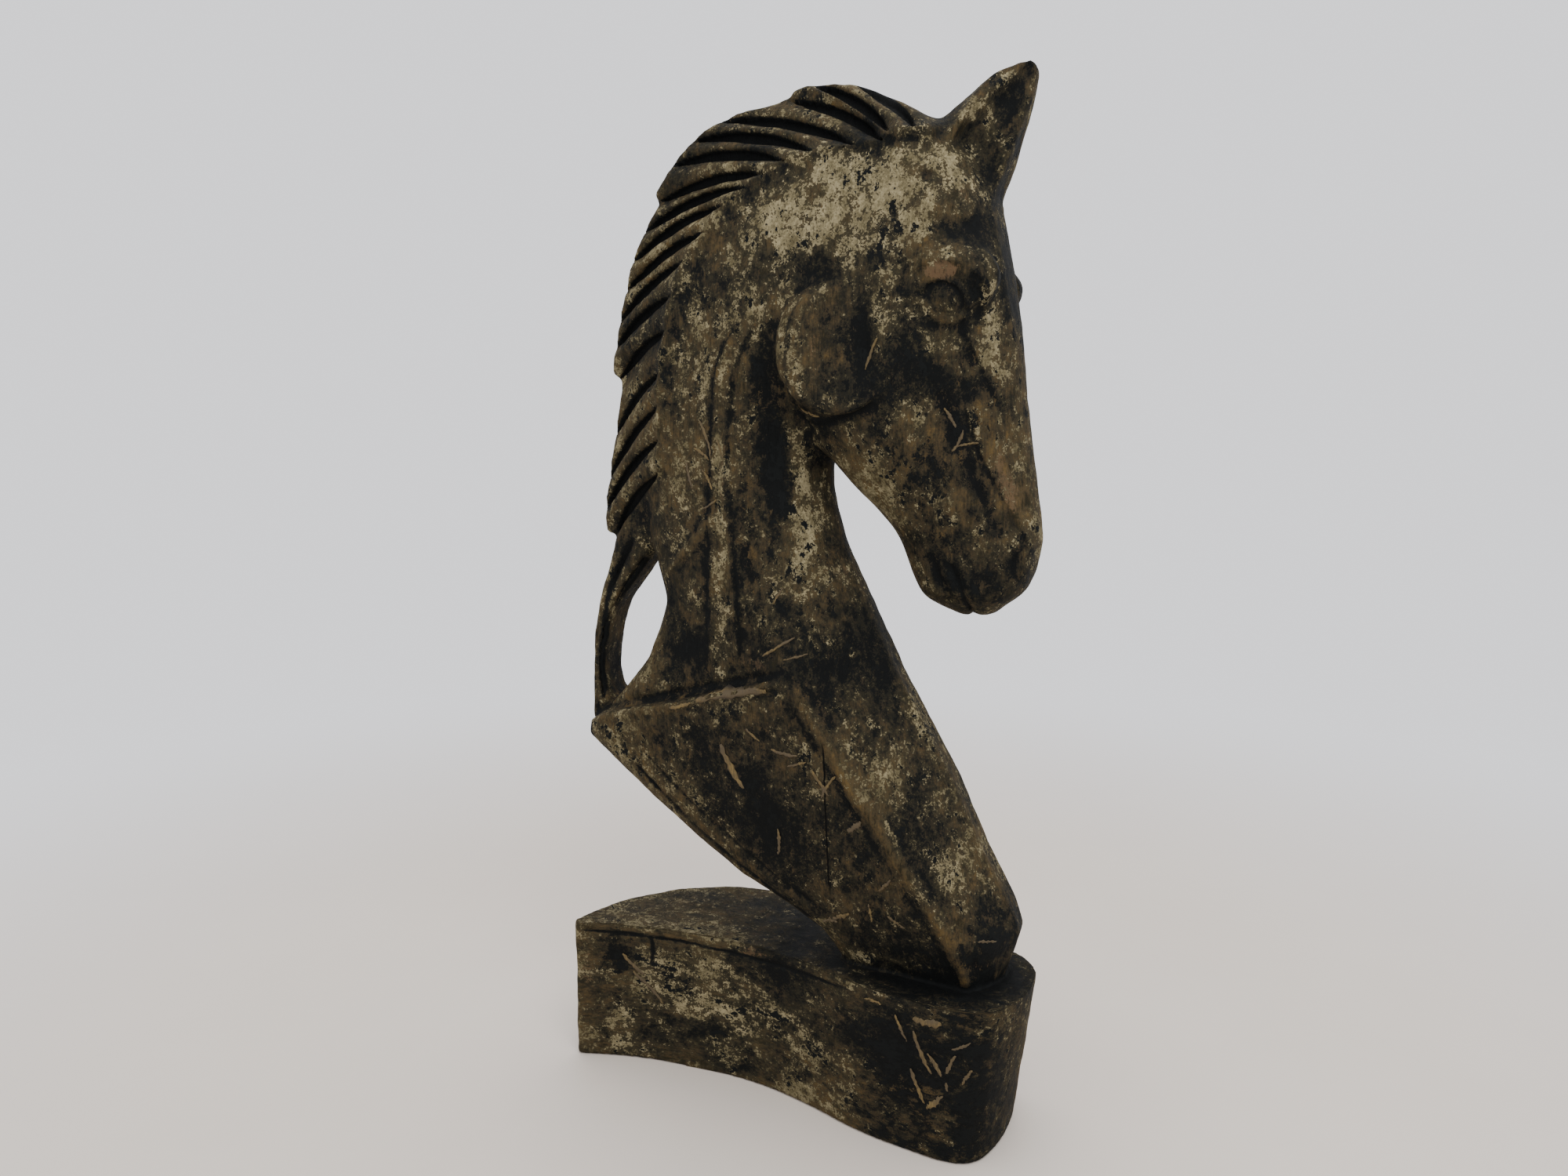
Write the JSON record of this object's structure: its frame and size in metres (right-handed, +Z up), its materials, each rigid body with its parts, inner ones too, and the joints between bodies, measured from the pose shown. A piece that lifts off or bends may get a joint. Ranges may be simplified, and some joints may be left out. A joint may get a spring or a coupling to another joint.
{
  "type": "carved horse head sculpture",
  "caption": "Weathered driftwood horse head with a stepped, grooved mane and a pierced loop, leaning over a wave-shaped base.",
  "frame": {"origin": "centre of the bounding box's bottom face, on the underside of the base", "axes": "+Z up along the height, +X the way the horse faces, +Y towards its left side"},
  "size_m": [0.2945, 0.1264, 0.6],
  "materials": {
    "weathered_wood": "matte dark stain under a worn lime wash, with bare chips"
  },
  "bodies": {
    "root": {"horse_head_carving": "weathered_wood"}
  },
  "joints": []
}
